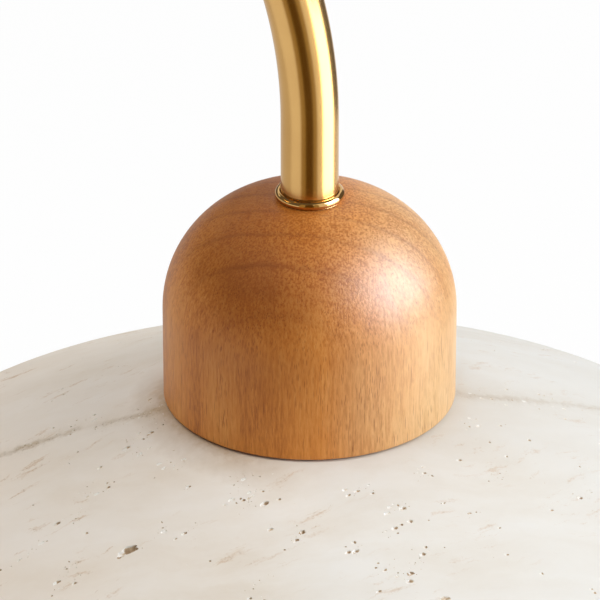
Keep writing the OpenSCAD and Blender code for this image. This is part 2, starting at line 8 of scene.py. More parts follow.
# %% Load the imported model
import json
import math
import random
from collections import namedtuple

import bmesh
import bpy
from mathutils import Matrix, Vector, noise
from mathutils.bvhtree import BVHTree
from mathutils.kdtree import KDTree
from mathutils.interpolate import poly_3d_calc


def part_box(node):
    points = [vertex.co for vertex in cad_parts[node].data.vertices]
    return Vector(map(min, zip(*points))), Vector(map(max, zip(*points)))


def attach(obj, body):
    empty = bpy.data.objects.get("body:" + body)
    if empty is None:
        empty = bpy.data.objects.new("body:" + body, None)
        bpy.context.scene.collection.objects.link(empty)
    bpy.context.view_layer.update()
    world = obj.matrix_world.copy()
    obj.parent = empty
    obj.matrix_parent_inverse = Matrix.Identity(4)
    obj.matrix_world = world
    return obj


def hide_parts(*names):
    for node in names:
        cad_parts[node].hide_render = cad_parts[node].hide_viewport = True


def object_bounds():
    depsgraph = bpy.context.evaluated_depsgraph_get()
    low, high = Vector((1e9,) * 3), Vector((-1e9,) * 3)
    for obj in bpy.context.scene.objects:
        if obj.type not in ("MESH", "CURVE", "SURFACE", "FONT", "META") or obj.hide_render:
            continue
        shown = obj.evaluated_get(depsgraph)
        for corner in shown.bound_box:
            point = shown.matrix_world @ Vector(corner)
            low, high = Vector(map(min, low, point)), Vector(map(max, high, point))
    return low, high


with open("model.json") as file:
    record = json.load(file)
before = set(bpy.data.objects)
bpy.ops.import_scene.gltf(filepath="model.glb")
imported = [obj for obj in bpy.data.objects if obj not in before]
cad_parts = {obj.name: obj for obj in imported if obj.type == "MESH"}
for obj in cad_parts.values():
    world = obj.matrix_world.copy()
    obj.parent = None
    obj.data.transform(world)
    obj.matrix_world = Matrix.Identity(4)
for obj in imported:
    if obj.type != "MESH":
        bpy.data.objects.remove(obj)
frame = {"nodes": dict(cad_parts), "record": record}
CAD_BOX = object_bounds()
NODES = frame["nodes"]
SLOT_OF = {part["node"]: part["material_slot"] for part in frame["record"]["subparts"]}
BODY_OF = {node: body for body, nodes in frame["record"]["behaviour"]["bodies"].items() for node in nodes}
MM = 0.001

# %% [markdown]
# ## Where things are
# Every size that the finishes need is read from the solids, so nothing here has to be fitted by
# hand. The foot of the wooden cap, on the lamp's own axis, is the point that most of the lesson
# measures from.

# %% Measure the solids
cap_low, cap_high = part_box("wooden_cap")
stone_low, stone_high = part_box("stone_shade")
tube_low, tube_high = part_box("arm_tube")
CAP_FOOT = Vector(((cap_low.x + cap_high.x) / 2, (cap_low.y + cap_high.y) / 2, cap_low.z))
CAP_R = (cap_high.x - cap_low.x) / 2
STONE_R = (stone_high.x - stone_low.x) / 2
TUBE_R = (tube_high.x - tube_low.x) / 2
BEND_R = 150 * MM
BEND_CENTRE = Vector((0, CAP_FOOT.y + BEND_R, -BEND_R))
print("cap radius", round(CAP_R / MM, 1), "stone radius", round(STONE_R / MM, 1), "mm")

# %% [markdown]
# ## The camera
# The photograph was taken from one side of the arm, from a little above and with a long lens, so that
# lines hardly converge. A camera can be aimed by hand, but it is steadier to fix the lens and the
# pitch, and then to slide the camera until the foot of the cap falls on its own pixel.

# %% Place the camera
PHOTO_PX = 600
LENS_MM = 300
SENSOR_MM = 36
FOCAL_PX = LENS_MM / SENSOR_MM * PHOTO_PX
VIEW_PITCH = math.radians(27.07)
FOOT_DEPTH = 1.406
FOOT_PX = (309.5, 390.5)

VIEW_AHEAD = Vector((math.cos(VIEW_PITCH), 0, -math.sin(VIEW_PITCH)))
VIEW_RIGHT = Vector((0, -1, 0))
VIEW_UP = VIEW_RIGHT.cross(VIEW_AHEAD)


def pixel_ray(px, py):
    """Direction from the camera through a pixel of the photograph, one unit deep."""
    half = PHOTO_PX / 2
    return VIEW_AHEAD + VIEW_RIGHT * (px - half) / FOCAL_PX - VIEW_UP * (py - half) / FOCAL_PX


CAMERA_AT = CAP_FOOT - pixel_ray(*FOOT_PX) * FOOT_DEPTH
camera_data = bpy.data.cameras.new("photo_camera")
camera_data.lens = LENS_MM
camera_data.sensor_width = SENSOR_MM
camera_data.clip_end = 100
camera = bpy.data.objects.new("photo_camera", camera_data)
turn = Matrix((VIEW_RIGHT, VIEW_UP, -VIEW_AHEAD)).transposed().to_4x4()
camera.matrix_world = Matrix.Translation(CAMERA_AT) @ turn
bpy.context.scene.collection.objects.link(camera)
bpy.context.scene.camera = camera
print("camera at", [round(v, 3) for v in CAMERA_AT])

# %% [markdown]
# ## Writing shaders as sums
# A material in Blender is a graph of nodes. Long graphs are hard to read as code, so a small class
# wraps a socket and lets plus, minus, times and divide add the Math nodes. Everything else, such as a
# noise or a ramp, comes from the one method `node`, which sets the node's settings and then its sockets.

# %% A socket that can be calculated with
class Wire:
    """An output socket, with operators that add Math nodes behind it."""

    def __init__(self, finish, socket):
        self.finish = finish
        self.socket = socket

    def math(self, operation, *others, first=None):
        values = (self if first is None else first, *others)
        return self.finish.node("ShaderNodeMath", {"operation": operation}, dict(enumerate(values)))

    def __add__(self, other):
        return self.math("ADD", other)

    def __sub__(self, other):
        return self.math("SUBTRACT", other)

    def __rsub__(self, other):
        return self.math("SUBTRACT", self, first=other)

    def __mul__(self, other):
        return self.math("MULTIPLY", other)

    def __truediv__(self, other):
        return self.math("DIVIDE", other)

    def __rtruediv__(self, other):
        return self.math("DIVIDE", self, first=other)

    def __abs__(self):
        return self.math("ABSOLUTE")

    __radd__ = __add__
    __rmul__ = __mul__


# %% A graph that grows its own nodes
class Graph:
    """The node tree of a material or of the world."""

    def __init__(self, tree):
        self.tree = tree

    def put(self, node, sockets):
        """Set or link a node's input sockets, by name or by number."""
        for key, value in sockets.items():
            if isinstance(value, Wire):
                self.tree.links.new(value.socket, node.inputs[key])
            elif isinstance(value, tuple) and node.inputs[key].type == "RGBA":
                node.inputs[key].default_value = (*value, 1)
            else:
                node.inputs[key].default_value = value

    def node(self, kind, settings=None, sockets=None, out=0):
        """Any node: settings first, then sockets, and the wire of one output."""
        made = self.tree.nodes.new(kind)
        for key, value in (settings or {}).items():
            if key == "stops":
                set_stops(made.color_ramp, value)
            else:
                setattr(made, key, value)
        self.put(made, sockets or {})
        return Wire(self, made.outputs[out])


# %% A material with one Principled shader
class Finish(Graph):
    """Constants are set on the shader and varying values are linked to it."""

    def __init__(self, name, **constants):
        self.material = bpy.data.materials.new(name)
        self.material.use_nodes = True
        super().__init__(self.material.node_tree)
        self.tree.nodes.clear()
        self.shader = self.tree.nodes.new("ShaderNodeBsdfPrincipled")
        output = self.tree.nodes.new("ShaderNodeOutputMaterial")
        self.tree.links.new(self.shader.outputs[0], output.inputs["Surface"])
        self.feed(**constants)

    def feed(self, **values):
        self.put(self.shader, {key.replace("_", " ").title(): value for key, value in values.items()})


def set_stops(ramp, stops):
    """Fill a colour ramp with (position, grey or colour) stops."""
    while len(ramp.elements) < len(stops):
        ramp.elements.new(1)
    for element, (position, value) in zip(ramp.elements, stops):
        colour = value if isinstance(value, tuple) else (value,) * 3
        element.position = position
        element.color = (*colour, 1)


# %% Short names for the nodes that every finish uses
def place_mm(finish, origin=CAP_FOOT):
    """Position on the object in millimetres from a point, which moves with the piece."""
    where = finish.node("ShaderNodeTexCoord", out="Object")
    shifted = finish.node("ShaderNodeVectorMath", {"operation": "SUBTRACT"}, {0: where, 1: origin})
    return finish.node("ShaderNodeVectorMath", {"operation": "SCALE"}, {0: shifted, "Scale": 1 / MM})


def xyz(finish, vector):
    """The three parts of a vector."""
    split = finish.node("ShaderNodeSeparateXYZ", sockets={0: vector}).socket.node
    return [Wire(finish, split.outputs[i]) for i in range(3)]


def vector_of(finish, x, y, z):
    return finish.node("ShaderNodeCombineXYZ", sockets={0: x, 1: y, 2: z})


def stretched(finish, vector, factors):
    return finish.node("ShaderNodeVectorMath", {"operation": "MULTIPLY"}, {0: vector, 1: factors})


def cloud(finish, vector, scale, detail=3.0, roughness=0.55):
    """Smooth noise from 0 to 1 with about scale lumps in a millimetre."""
    sockets = {"Vector": vector, "Scale": scale, "Detail": detail, "Roughness": roughness}
    return finish.node("ShaderNodeTexNoise", sockets=sockets)


def ramp(finish, value, *stops):
    """A value or colour read off a ramp."""
    return finish.node("ShaderNodeValToRGB", {"stops": stops}, {0: value})


def blend(finish, factor, a, b, kind="MIX"):
    """Mix of two colours."""
    return finish.node(
        "ShaderNodeMix", {"data_type": "RGBA", "blend_type": kind}, {"Factor": factor, 6: a, 7: b}, out=2
    )


def relief(finish, height, strength, depth_mm):
    """Normal of a surface whose height varies by depth_mm."""
    sockets = {"Height": height, "Strength": strength, "Distance": depth_mm * MM}
    return finish.node("ShaderNodeBump", sockets=sockets)


print("shader helpers ready")

# %% [markdown]
# ## Light
# The picture is a product shot on white: a tall soft box stands to the right of the camera, weaker ones
# to the right, behind and to the left, and white surroundings fill the shadows. What a gloss mirrors is
# set apart from what lights it. A bright window makes the highlight on the wood, and the polished tube
# mirrors the dark space round the photographer, which draws the dark stripe along it. Cards stand for
# these. They are seen by reflections alone, so they throw no shadow and never block a view. The floor is
# clear from underneath, so the lamp can be looked at from below too.

# %% World and floor
LAMP_MIDDLE = CAP_FOOT + Vector((0, 0, 30 * MM))
WORLD_FILL = 0.25
WHITE = 1.0
FLOOR_GAP = 0.30


def white_to_eye(finish):
    """1 for rays from the eye, a mirror or through glass, and 0 for rays that carry light."""
    path = finish.node("ShaderNodeLightPath").socket.node
    kinds = ("Is Camera Ray", "Is Glossy Ray", "Is Transmission Ray")
    eye, mirror, glass = [Wire(finish, path.outputs[kind]) for kind in kinds]
    return eye.math("MAXIMUM", mirror).math("MAXIMUM", glass)


world = bpy.data.worlds.new("white_studio")
bpy.context.scene.world = world
world.use_nodes = True
surroundings = Graph(world.node_tree)
sky = world.node_tree.nodes["Background"]
strength = white_to_eye(surroundings) * (WHITE - WORLD_FILL) + WORLD_FILL
surroundings.put(sky, {"Color": (1.0, 0.995, 0.985), "Strength": strength})

floor_mesh = bpy.data.meshes.new("studio_floor")
FLOOR_Z = CAD_BOX[0].z - FLOOR_GAP
FLOOR_HALF = 12
corners = [(-1, -1), (1, -1), (1, 1), (-1, 1)]
floor_mesh.from_pydata([(FLOOR_HALF * x, FLOOR_HALF * y, FLOOR_Z) for x, y in corners], [], [(0, 1, 2, 3)])
floor = bpy.data.objects.new("studio_floor", floor_mesh)
bpy.context.scene.collection.objects.link(floor)

floor_finish = Finish("floor_paper", base_color=(0.86, 0.86, 0.85), roughness=0.9)
glow = floor_finish.node("ShaderNodeEmission", sockets={"Color": (1, 1, 1), "Strength": WHITE})
paper = Wire(floor_finish, floor_finish.shader.outputs[0])
FLOOR_WHITE = 0.94
shown = white_to_eye(floor_finish) * FLOOR_WHITE
upper_side = floor_finish.node("ShaderNodeMixShader", sockets={0: shown, 1: paper, 2: glow})
below = floor_finish.node("ShaderNodeNewGeometry", out="Backfacing")
clear = floor_finish.node("ShaderNodeBsdfTransparent")
one_sided = floor_finish.node("ShaderNodeMixShader", sockets={0: below, 1: upper_side, 2: clear})
floor_finish.put(floor_finish.tree.nodes["Material Output"], {"Surface": one_sided})
floor_mesh.materials.append(floor_finish.material)
print("floor at", round(FLOOR_Z, 3))


# %% Soft boxes and cards
def beside(bearing, rise, distance):
    """A point round the lamp: bearing from the camera's side towards the right of the picture."""
    b, r = math.radians(bearing), math.radians(rise)
    out = Vector((-math.cos(b) * math.cos(r), -math.sin(b) * math.cos(r), math.sin(r)))
    return LAMP_MIDDLE + out * distance


def facing_lamp(obj, at):
    """Put an object at a point with its face to the lamp."""
    aim = (LAMP_MIDDLE - at).to_track_quat("-Z", "Y").to_matrix().to_4x4()
    obj.matrix_world = Matrix.Translation(at) @ aim
    bpy.context.scene.collection.objects.link(obj)


def soft_box(name, bearing, rise, distance, width, height, brightness):
    """An area light that reflections skip; its brightness is that of its face, where 1 is white."""
    data = bpy.data.lights.new(name, "AREA")
    data.shape = "RECTANGLE"
    data.size = width
    data.size_y = height
    data.energy = brightness * math.pi * width * height
    lamp = bpy.data.objects.new(name, data)
    lamp.visible_glossy = False
    facing_lamp(lamp, beside(bearing, rise, distance))


def mirror_card(name, bearing, rise, distance, width, height, colour):
    """A card that only reflections see."""
    mesh = bpy.data.meshes.new(name)
    mesh.from_pydata([(x * width / 2, y * height / 2, 0) for x, y in corners], [], [(0, 1, 2, 3)])
    finish = Finish(name, base_color=(0, 0, 0), roughness=1.0, emission_strength=1.0)
    finish.put(finish.shader, {"Specular IOR Level": 0.0})
    finish.feed(emission_color=colour)
    mesh.materials.append(finish.material)
    card = bpy.data.objects.new(name, mesh)
    facing_lamp(card, beside(bearing, rise, distance))
    for ray in ("camera", "diffuse", "transmission", "volume_scatter", "shadow"):
        setattr(card, "visible_" + ray, False)


soft_box("key_soft_box", bearing=60, rise=26, distance=2.4, width=1.2, height=2.6, brightness=3.8)
soft_box("right_soft_box", bearing=85, rise=37, distance=2.4, width=1.6, height=1.6, brightness=1.6)
soft_box("back_soft_box", bearing=140, rise=7, distance=2.4, width=1.2, height=1.2, brightness=2.7)
soft_box("left_soft_box", bearing=-90, rise=62, distance=2.4, width=2.0, height=2.0, brightness=3.4)
DARK = (0.125, 0.07, 0.011)
DIM = (0.42, 0.32, 0.15)
GREY = (0.74, 0.71, 0.66)
ROOM = (0.16, 0.14, 0.12)
REFLECTOR = (6.2, 6.0, 5.4)
WINDOW = (16.0, 21.5, 31.0)
mirror_card("dark_card", bearing=-1, rise=-5, distance=0.5, width=0.27, height=1.5, colour=DARK)
mirror_card("dim_card_left", bearing=-25, rise=-5, distance=0.5, width=0.16, height=1.5, colour=DIM)
mirror_card("dim_card_right", bearing=22, rise=-5, distance=0.5, width=0.14, height=1.5, colour=DIM)
mirror_card("window", bearing=84, rise=26, distance=0.75, width=0.60, height=0.52, colour=WINDOW)
mirror_card("reflector", bearing=81, rise=-24, distance=0.6, width=0.56, height=0.5, colour=REFLECTOR)
mirror_card("dark_card_right", bearing=133, rise=8, distance=0.6, width=0.48, height=0.64, colour=ROOM)
mirror_card("grey_card_left", bearing=-130, rise=-30, distance=0.7, width=1.9, height=0.8, colour=GREY)
mirror_card("room_card_left", bearing=-72, rise=34, distance=0.8, width=1.7, height=0.95, colour=ROOM)
mirror_card("room_card_behind", bearing=-142, rise=13, distance=0.8, width=1.1, height=0.36, colour=ROOM)
mirror_card("room_card_above", bearing=-120, rise=76, distance=0.9, width=1.5, height=1.5, colour=ROOM)
print("lights and cards placed")

# %% [markdown]
# ## Finished copies of the solids
# A solid from CAD has knife edges and flat facets. Real metal and wood have broken edges that catch
# light. Each piece that shows is a copy of its solid: points that coincide are welded, flat triangles
# are joined, gentle curves are shaded smooth and sharp corners get a small bevel.

# %% Copy a solid, weld it and break its edges
SMOOTH_ANGLE = math.radians(32)
FLAT_ANGLE = math.radians(0.2)
WELD = 0.002 * MM


def welded(node):
    """A clean mesh of a CAD node, as a bmesh."""
    bm = bmesh.new()
    bm.from_mesh(NODES[node].data)
    bmesh.ops.remove_doubles(bm, verts=bm.verts, dist=WELD)
    bmesh.ops.dissolve_limit(bm, angle_limit=FLAT_ANGLE, verts=bm.verts, edges=bm.edges)
    return bm


def add_piece(bm, name, node):
    """A new piece that stands for a node and moves with its body."""
    mesh = bpy.data.meshes.new(name)
    bm.to_mesh(mesh)
    bm.free()
    mesh.shade_smooth()
    mesh.set_sharp_from_angle(angle=SMOOTH_ANGLE)
    piece = bpy.data.objects.new(name, mesh)
    bpy.context.scene.collection.objects.link(piece)
    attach(piece, BODY_OF[node])
    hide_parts(node)
    return piece


def finished_copy(node, edge_mm):
    """The node's solid with broken edges."""
    piece = add_piece(welded(node), node + "_finished", node)
    bevel = piece.modifiers.new("broken_edges", "BEVEL")
    bevel.width = edge_mm * MM
    bevel.segments = 2
    bevel.limit_method = "ANGLE"
    bevel.angle_limit = SMOOTH_ANGLE
    bevel.harden_normals = True
    return piece


EDGES_MM = {
    "wooden_cap": 0.25,
    "cap_bead": 0.1,
    "wall_bead": 0.1,
    "knuckle": 0.35,
    "fork_bracket": 0.4,
    "wall_plate": 0.3,
    "plate_cap_nuts": 0.15,
    "pivot_screws": 0.15,
    "switch_knob": 0.12,
    "switch_nut": 0.15,
    "mounting_strap": 0.3,
    "shade_ring": 0.25,
    "lampholder_skirt": 0.3,
    "lamp_neck_housing": 0.4,
}
PIECES = {node: finished_copy(node, edge) for node, edge in EDGES_MM.items()}
print("finished copies:", len(PIECES))

# %% [markdown]
# ## The bent tube
# A bender draws the tube round a former, so its bend is an even quarter circle. A solid from CAD comes as
# facets, and a polished tube shows each one. So the tube is swept afresh along the same centre line, with
# many narrow rings, and the sheet is then thickened inwards to the tube's wall.

# %% Sweep the tube
TUBE_SIDES = 96
BEND_STEPS = 120
TUBE_WALL = 1.5 * MM


def tube_stations():
    """Points and directions of the centre line, from the foot up to the wall."""
    rise = Vector((0, 0, 1))
    yield Vector((0, CAP_FOOT.y, tube_low.z)), rise
    for step in range(BEND_STEPS + 1):
        angle = math.pi / 2 * step / BEND_STEPS
        out = Vector((0, -math.cos(angle), math.sin(angle)))
        yield BEND_CENTRE + out * BEND_R, Vector((0, math.sin(angle), math.cos(angle)))
    yield Vector((0, tube_high.y, 0)), Vector((0, 1, 0))


tube_bm = bmesh.new()
rings = []
for point, ahead in tube_stations():
    out = Vector((1, 0, 0)).cross(ahead)
    turns = [math.tau * side / TUBE_SIDES for side in range(TUBE_SIDES)]
    across = [Vector((1, 0, 0)) * math.cos(turn) + out * math.sin(turn) for turn in turns]
    rings.append([tube_bm.verts.new(point + way * TUBE_R) for way in across])
for lower, upper in zip(rings, rings[1:]):
    for side in range(TUBE_SIDES):
        after = (side + 1) % TUBE_SIDES
        tube_bm.faces.new((lower[side], lower[after], upper[after], upper[side]))
bmesh.ops.recalc_face_normals(tube_bm, faces=tube_bm.faces)
bmesh.ops.solidify(tube_bm, geom=tube_bm.faces, thickness=TUBE_WALL)
PIECES["arm_tube"] = add_piece(tube_bm, "arm_tube_swept", "arm_tube")
print("tube rings:", len(rings))

# %% [markdown]
# ## Travertine
# Travertine is lime laid down by water in uneven layers. Cut across, it shows pale clouds, thin tan
# lines where one layer ends, and open pits that were never filled. Pits could be painted, but light
# would not fall into them, so they are cut out of the stone: each cutter is a lumpy, flattened ball
# that lies along the layers. The larger pits follow the photograph, and the rest are scattered or crowd
# together. Where a pit has crumbled, a second, shallow cut chips a pale flake out of its edge.

# %% Layers of the stone and the shape of a pit
LAYER_ACROSS = Vector((1.0, 0.14, 1.07)).normalized()
PIT_LUMPS = ((1.7, 0.38), (4.1, 0.18))
PIT_LIFT = 0.3
BALL_STEPS = ((2.5, 3), (0.8, 2), (0.0, 1))


def pit_cutter(bm, at, normal, length, width, depth, swing, seed):
    """Add a lumpy ball whose middle lies a little above the surface, so that the rim slopes."""
    along = LAYER_ACROSS.cross(normal).normalized()
    along = Matrix.Rotation(swing, 3, normal) @ along
    across = normal.cross(along)
    frame_at = Matrix((along, across, normal)).transposed().to_4x4()
    steps = next(steps for over, steps in BALL_STEPS if length > over * MM)
    ball = bmesh.ops.create_icosphere(bm, subdivisions=steps, radius=1)
    size = Matrix.Diagonal((length / 2, width / 2, depth, 1))
    for vert in ball["verts"]:
        apart = Vector((seed * 3.7, seed * 1.3, seed))
        lump = 1 + sum(share * noise.noise(vert.co * pitch + apart) for pitch, share in PIT_LUMPS)
        vert.co = Matrix.Translation(at + normal * depth * PIT_LIFT) @ frame_at @ size @ (vert.co * lump)


print("layers lie", round(math.degrees(LAYER_ACROSS.angle(Vector((0, 0, 1))))), "degrees from level")

# %% Pits that show in the photograph: sizes in millimetres, turns in degrees
Pit = namedtuple("Pit", "pixel length width turn")
LARGE_PITS = [
    Pit((129, 550), 5.6, 2.9, 12),
    Pit((58, 523), 1.7, 1.1, 10),
    Pit((58, 582), 1.9, 1.0, 15),
    Pit((75, 583), 1.2, 0.8, -10),
    Pit((185, 533), 1.4, 1.0, 0),
    Pit((266, 503), 2.1, 1.5, 20),
    Pit((244, 500), 1.1, 0.8, -15),
    Pit((303, 532), 1.6, 1.5, 30),
    Pit((297, 540), 1.4, 0.9, 0),
    Pit((349, 495), 1.2, 0.9, 10),
    Pit((358, 491), 1.3, 0.8, 0),
    Pit((373, 493), 1.1, 0.8, 0),
    Pit((404, 508), 1.7, 1.3, 0),
    Pit((396, 528), 1.5, 1.0, 25),
    Pit((349, 552), 1.4, 1.1, 0),
    Pit((357, 551), 1.7, 1.2, 15),
    Pit((378, 563), 0.9, 0.7, 0),
    Pit((412, 573), 1.8, 1.0, -20),
    Pit((411, 581), 1.8, 1.3, 0),
    Pit((424, 554), 1.7, 1.2, 0),
    Pit((447, 598), 2.4, 1.4, 0),
    Pit((460, 460), 1.4, 0.9, 0),
    Pit((425, 473), 1.2, 0.8, 0),
    Pit((566, 419), 1.1, 0.7, 0),
    Pit((581, 498), 1.6, 1.0, 10),
    Pit((210, 561), 0.9, 0.7, 0),
    Pit((380, 591), 1.2, 0.9, 0),
    Pit((152, 432), 1.8, 1.2, 0),
    Pit((128, 447), 2.0, 1.3, 0),
    Pit((109, 487), 1.2, 0.8, 0),
    Pit((0, 570), 1.4, 0.9, 0),
]
VEIN_PIXELS = [
    (39, 436), (55, 431), (71, 427), (90, 424), (111, 421), (139, 415), (152, 411),
    (495, 402), (512, 399), (531, 399), (561, 401),
]
CROWD_PIXELS = [
    (243, 478), (238, 493), (244, 506), (252, 498), (133, 437), (127, 447), (152, 433),
    (136, 453), (167, 462), (177, 466), (70, 458), (108, 487), (84, 494), (80, 515),
    (162, 530), (294, 538), (68, 568), (257, 583), (354, 492), (397, 506), (420, 475),
    (393, 528), (354, 550), (419, 560), (412, 571), (390, 570), (583, 469), (591, 493),
    (579, 496), (467, 423), (497, 475), (30, 552),
]
print("pits to follow:", len(LARGE_PITS), "places with tiny ones:", len(CROWD_PIXELS))

# %% Cut a pit, and chip its edge where it has crumbled
PIT_DEEP = 0.7
PIT_APART = 0.55
FRESH_DEEP = 0.4
FRESH_FLOOR = 4.0
CRUMBLED_FROM = 1.0 * MM
CRUMBLED_SIDE = Vector((-0.45, 0.9, 0.0)).normalized()
CHIP_MOST = 3.0 * MM
CHIP_OUT = 0.42
CHIP_LONG = 1.1
CHIP_WIDE = 0.8
CHIP_TURN = 0.5
stone_bm = welded("stone_shade")
bmesh.ops.triangulate(stone_bm, faces=stone_bm.faces)
stone_tree = BVHTree.FromBMesh(stone_bm)
cutters = bmesh.new()
chippers = bmesh.new()
taken = []
chipped = []


def too_close(at, length, others):
    """True where a hollow would run into an earlier one."""
    return any((at - other).length < (length + size) * PIT_APART for other, size, _ in others)


def cut_pit(at, normal, length, width, swing, fresh=False):
    """Add a cutter unless an earlier pit is too close; a fresh pit is shallow and pale to its floor."""
    if too_close(at, length, taken):
        return
    depth = PIT_DEEP * width * (FRESH_DEEP if fresh else 1)
    taken.append((at, length, depth * (1 - PIT_LIFT) * (FRESH_FLOOR if fresh else 1)))
    pit_cutter(cutters, at, normal, length, width, depth, swing, len(taken))
    if length > CRUMBLED_FROM:
        crumble(at, length, swing)


def crumble(at, length, swing):
    """Chip a shallow, pale flake out of one edge of a pit."""
    spot, normal, _, _ = stone_tree.find_nearest(at + CRUMBLED_SIDE * length * CHIP_OUT)
    chip = min(length, CHIP_MOST)
    if too_close(spot, chip, chipped):
        return
    long, wide = chip * CHIP_LONG, chip * CHIP_WIDE
    depth = PIT_DEEP * FRESH_DEEP * chip * CHIP_WIDE
    chipped.append((spot, chip, depth * (1 - PIT_LIFT) * FRESH_FLOOR))
    pit_cutter(chippers, spot, normal, long, wide, depth, swing + CHIP_TURN, len(chipped))


for pit in LARGE_PITS:
    at, normal, _, _ = stone_tree.ray_cast(CAMERA_AT, pixel_ray(*pit.pixel))
    cut_pit(at, normal, pit.length * MM, pit.width * MM, math.radians(pit.turn))
print("pits from the photograph:", len(taken))

# %% Scattered pits
rng = random.Random(11)
SCATTERED = 150
SCATTERED_MM = (0.6, 1.5)
SCATTERED_OUT = (0.1, 0.99)
TOP_SHARE = 0.7
PLUMB_FROM = 0.2
PIT_NARROW = (0.45, 0.9)
PIT_SWING = 0.5


def drop_pit(x, y, from_top, length, fresh=False):
    """Cut a pit where a plumb line meets the upper or the lower face."""
    side = 1 if from_top else -1
    start = Vector((x, y, CAP_FOOT.z + PLUMB_FROM * side))
    at, normal, _, _ = stone_tree.ray_cast(start, Vector((0, 0, -side)))
    if at and (at.xy - CAP_FOOT.xy).length > CAP_R + 2 * length:
        cut_pit(at, normal, length, length * rng.uniform(*PIT_NARROW), rng.gauss(0, PIT_SWING), fresh)


for _ in range(SCATTERED):
    bearing = rng.uniform(0, math.tau)
    radius = STONE_R * math.sqrt(rng.uniform(*SCATTERED_OUT))
    x, y = CAP_FOOT.x + radius * math.cos(bearing), CAP_FOOT.y + radius * math.sin(bearing)
    drop_pit(x, y, rng.random() < TOP_SHARE, rng.uniform(*SCATTERED_MM) * MM)
print("with scattered pits:", len(taken))

# %% Tiny pits that crowd round others and along the main vein
CROWDED = 800
FRESH_SHARE = 0.35
FRESH_WIDER = 1.45
TINY_LEAST = 0.28 * MM
TINY_SPAN = 0.8 * MM
TINY_SKEW = 2.5
UPPER_DOWN_TO = CAP_FOOT.z - 60 * MM
DASH_ACROSS = Vector((1.0, 0.6, 1.07)).normalized()


def seen_at(pixels):
    """Points of the stone that lie behind pixels of the photograph."""
    return [stone_tree.ray_cast(CAMERA_AT, pixel_ray(*pixel))[0] for pixel in pixels]


vein_hosts = seen_at(VEIN_PIXELS)
crowd_hosts = seen_at(CROWD_PIXELS)
other_hosts = [at for at, _, _ in taken]
along_layer = Vector((-LAYER_ACROSS.y, LAYER_ACROSS.x, 0)).normalized()
along_dash = Vector((-DASH_ACROSS.y, DASH_ACROSS.x, 0)).normalized()
Crowd = namedtuple("Crowd", "hosts along spread_mm wide_mm")
CROWDS = [
    Crowd(vein_hosts, along_layer, 5.0, 1.0),
    Crowd(crowd_hosts, along_dash, 2.0, 1.6),
    Crowd(other_hosts, along_dash, 3.0, 1.6),
]
CROWD_SHARES = [0.28, 0.47, 0.25]
for _ in range(CROWDED):
    crowd = rng.choices(CROWDS, CROWD_SHARES)[0]
    host = rng.choice(crowd.hosts)
    along = crowd.along * rng.gauss(0, crowd.spread_mm * MM)
    spot = host + along + LAYER_ACROSS * rng.gauss(0, crowd.wide_mm * MM)
    length = TINY_LEAST + TINY_SPAN * rng.random() ** TINY_SKEW
    fresh = rng.random() < FRESH_SHARE
    drop_pit(spot.x, spot.y, host.z > UPPER_DOWN_TO, length * (FRESH_WIDER if fresh else 1), fresh)
print("pits in all:", len(taken), "with crumbled edges:", len(chipped))

# %% Cut the pits
stone = add_piece(stone_bm, "stone_shade_pitted", "stone_shade")
honed = stone.data
tools = []
for name, balls in (("chips", chippers), ("pits", cutters)):
    tool_mesh = bpy.data.meshes.new(name)
    balls.to_mesh(tool_mesh)
    balls.free()
    tool = bpy.data.objects.new(name, tool_mesh)
    bpy.context.scene.collection.objects.link(tool)
    tools.append(tool)
    cut = stone.modifiers.new(name, "BOOLEAN")
    cut.object = tool
    cut.operation = "DIFFERENCE"
    cut.solver = "MANIFOLD"
pitted = bpy.data.meshes.new_from_object(stone.evaluated_get(bpy.context.evaluated_depsgraph_get()))
pitted.materials.clear()
stone.modifiers.clear()
stone.data = pitted
for tool in tools:
    bpy.data.objects.remove(tool)
PIECES["stone_shade"] = stone
print("stone faces:", len(pitted.polygons))

# %% [markdown]
# The cut leaves long thin triangles round each pit, and smooth shading would smear across them. So the
# honed face takes its normals from the stone as it was before the cut. Faces that lie below that stone's
# surface belong to a pit: they keep their own normals and get the raw finish. Each point also stores how
# deep it lies, as a share of its own pit, so that rims and chips stay pale and floors turn brown, partly
# with dirt and partly with painted shade.

# %% Keep the honed face even
PIT_DEPTH = 0.02 * MM
pitted.shade_smooth()
pitted.set_sharp_from_angle(angle=SMOOTH_ANGLE)
honed_corners = [corner.vector.copy() for corner in honed.corner_normals]
corner_normals = [Vector((0, 0, 0))] * len(pitted.loops)
raw_faces = 0
for face in pitted.polygons:
    _, _, index, gap = stone_tree.find_nearest(face.center)
    if gap > PIT_DEPTH:
        face.material_index = 1
        raw_faces += 1
        continue
    face.material_index = 0
    under = honed.polygons[index]
    triangle = [honed.vertices[v].co for v in under.vertices]
    for loop in face.loop_indices:
        weights = poly_3d_calc(triangle, pitted.vertices[pitted.loops[loop].vertex_index].co)
        normals = [honed_corners[corner] for corner in under.loop_indices]
        blend_normal = sum((n * w for n, w in zip(normals, weights)), Vector())
        corner_normals[loop] = blend_normal.normalized()
pitted.normals_split_custom_set(corner_normals)
hollows = taken + chipped
middles = KDTree(len(hollows))
for index, (at, _, _) in enumerate(hollows):
    middles.insert(at, index)
middles.balance()
floors = [hollows[middles.find(vert.co)[1]][2] for vert in pitted.vertices]
gaps = [stone_tree.find_nearest(vert.co)[3] for vert in pitted.vertices]
shares = [gap / floor for gap, floor in zip(gaps, floors)]
pitted.attributes.new("pit_depth", "FLOAT", "POINT").data.foreach_set("value", shares)
print("faces inside pits:", raw_faces)
